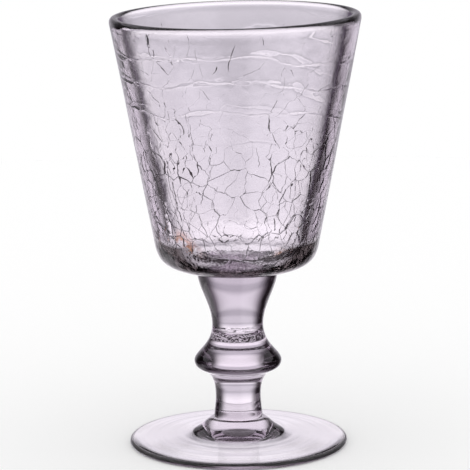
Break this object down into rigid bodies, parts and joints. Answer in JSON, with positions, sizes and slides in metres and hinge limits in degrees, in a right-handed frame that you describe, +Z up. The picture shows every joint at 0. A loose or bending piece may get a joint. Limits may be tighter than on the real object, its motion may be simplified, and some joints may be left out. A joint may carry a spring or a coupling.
{
  "type": "cracked wine glass",
  "caption": "Goblet of lilac-tinted glass with a crackled tapered bowl, a knopped stem and a round foot, blown as one piece.",
  "frame": {"origin": "centre of the foot's underside, on the surface the glass stands on", "axes": "+Z up along the stem towards the rim; -Y faces the viewer; +X is the side where the rim stands a little higher"},
  "size_m": [0.086, 0.086, 0.1506],
  "materials": {
    "lilac_glass": "fire polished clear glass with a faint lilac tint; the bowl's outer skin is crackled"
  },
  "bodies": {
    "root": {"wine_glass": "lilac_glass"}
  },
  "joints": []
}
